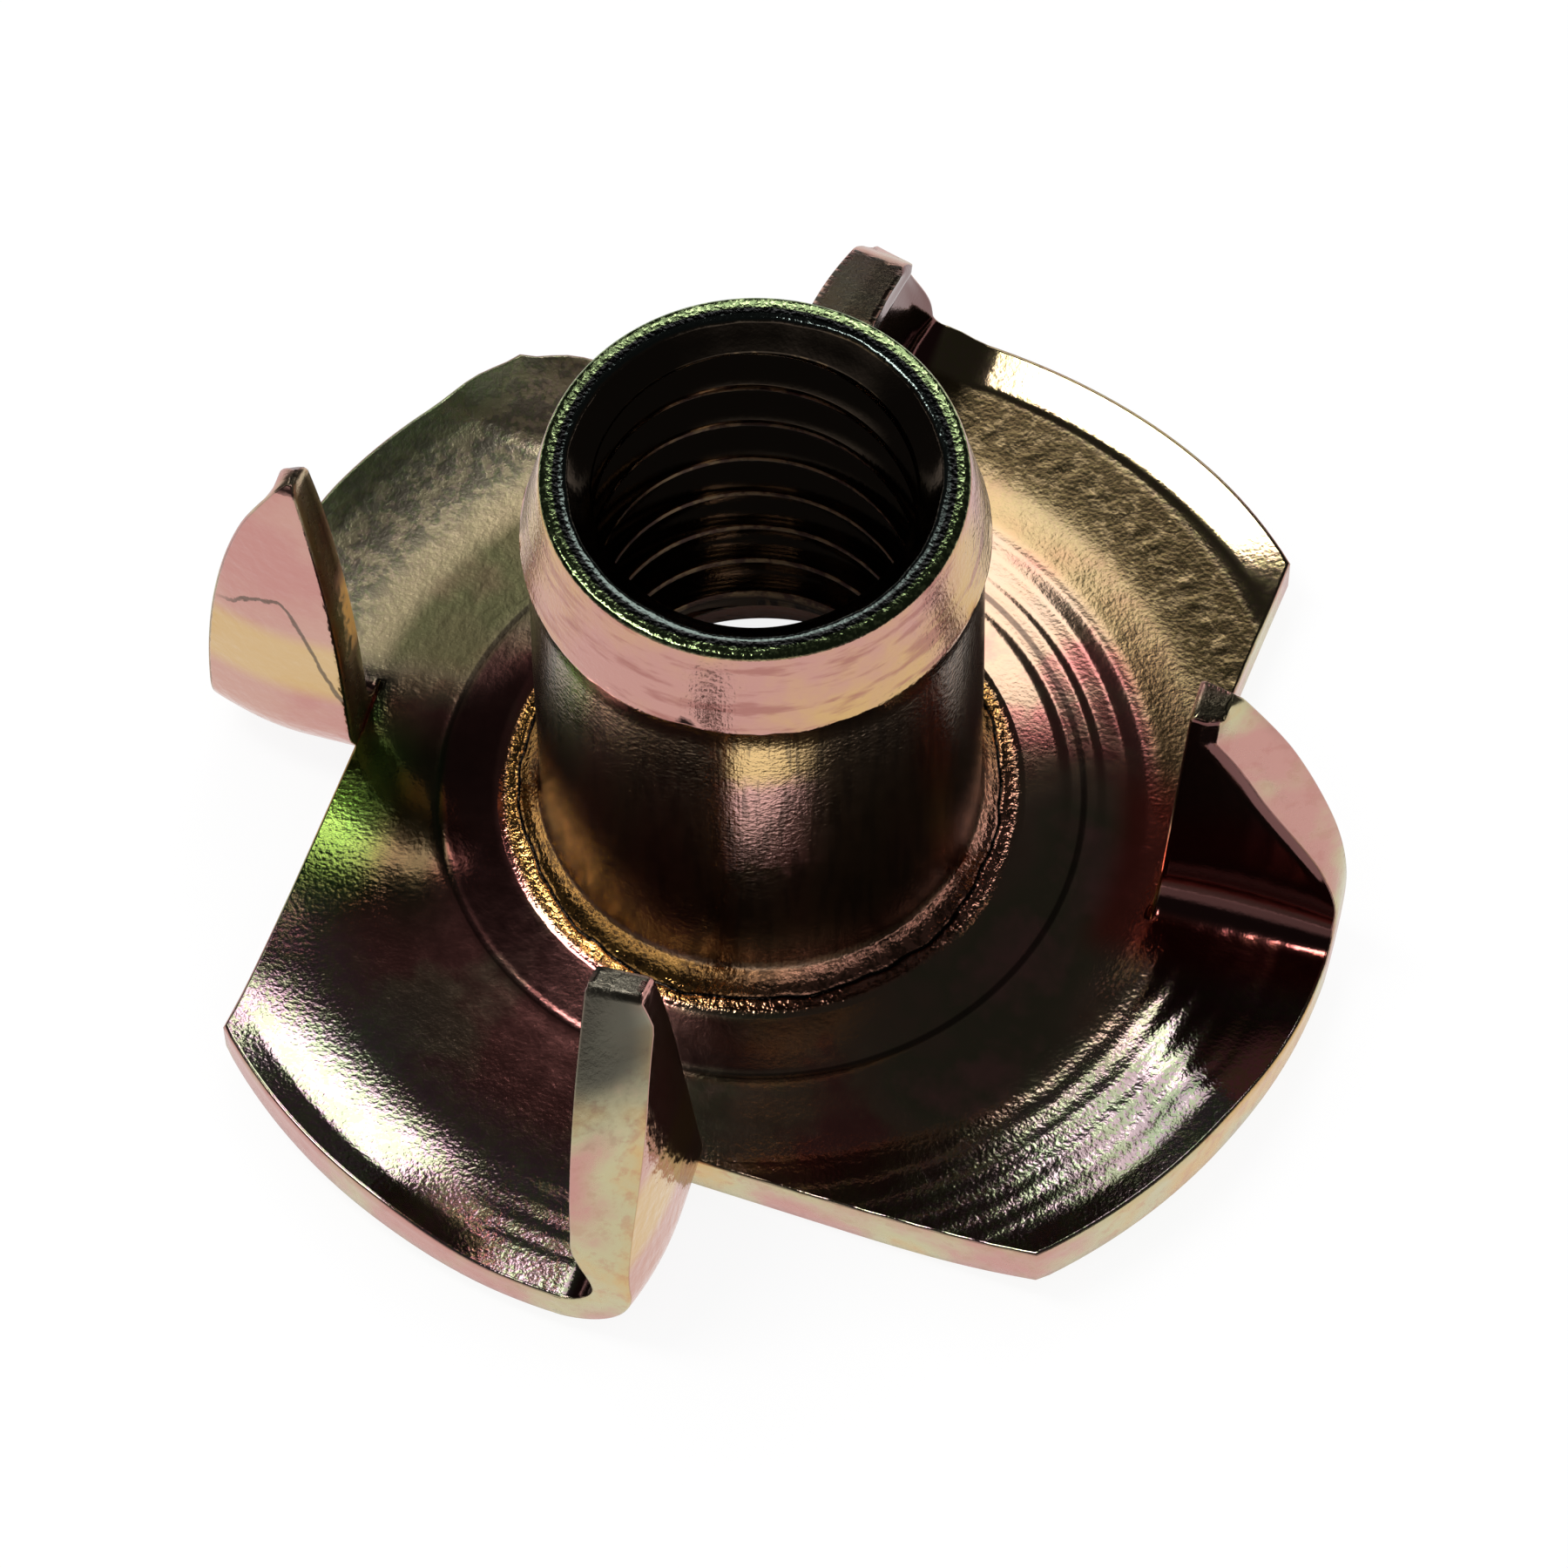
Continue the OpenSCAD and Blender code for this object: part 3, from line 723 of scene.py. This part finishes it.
# the underside is olive and gold, with green towards the rim and rose round the mouth
under = layered(mix(shift.between(0.4, 0.6), olive, gold),
                (patches.between(0.5, 0.75) * r.between(6.0, 8.0) * 0.8, green),
                ((1 - r.between(3.6, 4.8)) * 0.7, rose))
# a fine crack runs down across the back of the left prong
crack_z = (3.85 + 0.6 * (x + 9.2).between(0.0, 1.4) - 2.3 * (x + 7.9).between(0.0, 1.2)
           + 0.3 * fine)
off_crack = (z - crack_z) * (1.9 - 1.2 * (x + 8.0).between(0.0, 0.5))
crack = 1 - (off_crack * off_crack).between(0.001, 0.01)
crack = crack * (x + 9.3).between(0.0, 0.8) * (1 - (x + 6.8).between(0.0, 0.1))
crack = crack * (1 - y.between(-0.6, -0.4))
# the prongs' outer faces are ruddy, with a gold band across the middle
gold_band = z.between(2.1, 2.6) * (1 - z.between(3.5, 4.0))
blade_back = layered(mix(gold_band, (0.54, 0.26, 0.23), gold),
                     (shift.between(0.44, 0.6) * 0.25, cream),
                     (crack * 0.8, dark))
# a painted highlight lies on the middle of the left prong's inner edge: bright ochre, rough and
# hardly metal, so the room's soft light shows on it; the front prong's edge has painted shade
# towards its tip
painted_highlight = (z - 2.7).between(0.0, 0.6) * (1 - (z - 4.3).between(0.0, 0.9)) * cut
painted_highlight = painted_highlight * (-x).between(6.2, 6.5) * (x + 7.9).between(0.0, 0.1)
painted_highlight = painted_highlight * (1 - (depth + 0.8 * fine).between(0.75, 0.95))
shaded = (-y).between(6.0, 6.3) * (z + fine).between(5.0, 6.6)
edge_face = layered(mix(shift.between(0.44, 0.54), pink, straw),
                    (shift.between(0.53, 0.62), gold),
                    (fine.between(0.5, 0.65) * 0.3, rose),
                    (torn.between(0.1, 0.6) * 0.92, (0.06, 0.05, 0.035)),
                    (painted_highlight, (1.0, 0.56, 0.16)),
                    (shaded * 0.75, (0.10, 0.095, 0.075)))

colour = layered(flange, (inside_barrel, barrel), (band, collar), (end, end_face),
                 (thread, mix(crest, dark, crests)),
                 (depth, mix(reach.between(0.0, 0.5), under, blade_back)),
                 (cut, edge_face))

# relief: draw lines up the barrel, pleats and dimples across the lobes, ripples along the
# front right one, a pebbled underside and a torn lower half on the cut faces
lines = streaks(90, z * 0.8)
pleats = streaks(20, r * 1.2, 2.0)
hairs = streaks(90, r * 1.2, 2.0)
pebbles = noise(place, 5.0, 2.0, 0.4)
rough_cut = noise(place, 9.0, 4.0, 0.7)
dimples = (y.maths("ARCTAN2", x) * 114 + 5 * fine).maths("SINE")
dimples = dimples * r.between(7.9, 8.2) * (1 - r.between(8.2, 8.5)) * right_back
ripples = (r * 14 + 4 * patches).maths("SINE")
ripples = ripples * r.between(6.4, 7.4) * (1 - r.between(8.9, 9.2)) * right_front
pressed = ((0.15 + 0.3 * right_back + 0.2 * right_front) * pleats + 0.08 * hairs
           + 0.3 * dimples + 0.4 * ripples)
relief = ((0.15 + 0.8 * on_barrel + 0.8 * end + 0.35 * bowl * off_lip) * speck
          + (1.5 * speck + 2.0 * fine) * on_foot
          + 0.3 * lines * on_barrel + 0.8 * rolled * band
          + pressed * bowl * off_lip + 2.2 * fine * left_back * on_top
          + 2.4 * pebbles * depth * (1 - cut)
          + 1.2 * rough_cut * cut * (depth.between(0.4, 0.6) + torn))
bump = node(tree, "ShaderNodeBump", {}, {"Strength": 1.0, "Distance": 0.01 * MM, "Height": relief})
roughness = (0.07 + 0.08 * fine + 0.13 * cut + 0.06 * depth + 0.07 * on_barrel
             + 0.26 * left_back * on_top + 0.3 * painted_highlight + 0.1 * right_back * bowl * (1 - lip))
metal = node(tree, "ShaderNodeBsdfPrincipled", {}, {
    "Base Color": colour, "Metallic": 1 - 0.9 * painted_highlight, "Roughness": roughness, "Normal": bump})
node(tree, "ShaderNodeOutputMaterial", {}, {"Surface": metal})
mesh.materials.append(steel)

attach(nut, "root")
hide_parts("tee_nut")

# ---------------------------------------------------------------------------
# The floor is a broad table of white paper, 4 m across, so that it runs on out of
# sight. Seen directly it is nearly as white as the room, and keeps a soft shadow.
# ---------------------------------------------------------------------------
TABLE_HALF, TABLE_CELLS, TABLE_DROP = 2.0, 8, 0.02 * MM
floor_mesh = bpy.data.meshes.new("white_table")
span = np.linspace(-TABLE_HALF, TABLE_HALF, TABLE_CELLS + 1)
grid_x, grid_y = np.meshgrid(span, span)
table_points = np.stack([grid_x, grid_y, np.full(grid_x.shape, -TABLE_DROP)], -1).reshape(-1, 3)
cell = np.arange(grid_x.size).reshape(grid_x.shape)
table_faces = np.stack([cell[:-1, :-1], cell[:-1, 1:], cell[1:, 1:], cell[1:, :-1]], -1)
floor_mesh.from_pydata(table_points, [], table_faces.reshape(-1, 4).tolist())
floor = bpy.data.objects.new("white_table", floor_mesh)
bpy.context.scene.collection.objects.link(floor)
white = bpy.data.materials.new("white_paper")
white.use_nodes = True
tree = white.node_tree
tree.nodes.clear()
on_table = node(tree, "ShaderNodeTexCoord", out="Object")
from_nut = node(tree, "ShaderNodeVectorMath", {"operation": "LENGTH"}, {0: on_table}, out="Value")
camera_ray, glossy_ray, through_ray = [
    node(tree, "ShaderNodeLightPath", out=kind)
    for kind in ("Is Camera Ray", "Is Glossy Ray", "Is Transmission Ray")]
# the metal mirrors the white table, except close under the nut, where it is in shade
mirrored = glossy_ray.maths("MAXIMUM", through_ray) * from_nut.between(6.0 * MM, 7.2 * MM)
paper = node(tree, "ShaderNodeBsdfDiffuse", {}, {"Color": (0.85, 0.85, 0.85, 1)})
glow = node(tree, "ShaderNodeEmission", {}, {"Color": (1, 1, 1, 1), "Strength": 1.0})
mixed = node(tree, "ShaderNodeMixShader", {},
             {0: (camera_ray * 0.88).maths("MAXIMUM", mirrored), 1: paper, 2: glow})
node(tree, "ShaderNodeOutputMaterial", {}, {"Surface": mixed})
floor_mesh.materials.append(white)

# ---------------------------------------------------------------------------
# The room: a white wall at eye level, a greyer one that stands higher in front, and a
# dim ceiling, with three soft lamps: two behind the nut and one from the left.
# ---------------------------------------------------------------------------
CEILING, FRONT_WALL = 0.028, 0.42
world = bpy.data.worlds.new("studio")
bpy.context.scene.world = world
world.use_nodes = True
tree = world.node_tree
tree.nodes.clear()
direction = node(tree, "ShaderNodeTexCoord", out="Generated")
height = node(tree, "ShaderNodeSeparateXYZ", {}, {0: direction}, out="Z")
to_front = -node(tree, "ShaderNodeSeparateXYZ", {}, {0: direction}, out="Y")
front_wall = FRONT_WALL * to_front.between(0.4, 0.9) * (1 - height.between(0.35, 0.6))
room = CEILING + (1 - CEILING) * (1 - height.between(0.0, 0.1)) + front_wall
camera_ray = node(tree, "ShaderNodeLightPath", out="Is Camera Ray")
diffuse_ray = node(tree, "ShaderNodeLightPath", out="Is Diffuse Ray")
# only the metal mirrors the walls: seen directly, and as soft light, the room is white
strength = camera_ray.maths("MAXIMUM", diffuse_ray).maths("MAXIMUM", room)
sky = node(tree, "ShaderNodeBackground", {}, {"Color": (1, 1, 1, 1), "Strength": strength})
node(tree, "ShaderNodeOutputWorld", {}, {"Surface": sky})

LAMPS_AWAY, LAMPS_AIM = 0.5, Vector((0, 0, 4)) * MM


def lamp(name, azimuth, elevation, width, tall, brightness):
    """A soft rectangular lamp that faces the nut; brightness is how bright it looks."""
    a, e = math.radians(azimuth), math.radians(elevation)
    way = Vector((math.cos(a) * math.cos(e), math.sin(a) * math.cos(e), math.sin(e)))
    light = bpy.data.lights.new(name, "AREA")
    light.shape, light.size, light.size_y = "RECTANGLE", width, tall
    light.energy = brightness * math.pi * width * tall
    made = bpy.data.objects.new(name, light)
    made.location = LAMPS_AIM + way * LAMPS_AWAY
    made.rotation_euler = (-way).to_track_quat("-Z", "Y").to_euler()
    bpy.context.scene.collection.objects.link(made)


lamp("back_lamp", 98, 43, 0.165, 0.17, 3.2)
lamp("far_lamp", 117, 44, 0.09, 0.16, 1.3)
lamp("side_lamp", 180, 65, 0.10, 0.23, 12.0)

# ---------------------------------------------------------------------------
# The camera looks down on the nut from above and in front. Its focal length and aim
# are in dots of a view 1800 wide, of which it frames a square of 800.
# ---------------------------------------------------------------------------
SENSOR, FOCAL, FRAMED, MIDDLE, AIM_ACROSS, AIM_DOWN = 36.0, 3521.55, 800.0, 900, 630, 1120
camera = bpy.data.cameras.new("camera")
camera.sensor_width = SENSOR
camera.lens = SENSOR * FOCAL / FRAMED
camera.clip_start, camera.clip_end = 0.01, 10.0
eye = Vector((17.174, -55.061, 98.709)) * MM
right = Vector((0.96992, 0.23701, 0.05548))
upward = Vector((-0.22653, 0.79546, 0.56207))
forward = Vector((-0.08908, 0.55773, -0.82523))
forward = forward + right * (AIM_ACROSS - MIDDLE) / FOCAL - upward * (AIM_DOWN - MIDDLE) / FOCAL
forward = forward.normalized()
right = forward.cross(upward).normalized()
upward = right.cross(forward)
axes = Matrix((right, upward, -forward)).transposed()
shot = bpy.data.objects.new("camera", camera)
shot.matrix_world = Matrix.Translation(eye) @ axes.to_4x4()
bpy.context.scene.collection.objects.link(shot)
bpy.context.scene.camera = shot
bpy.context.scene.view_settings.view_transform = "Standard"
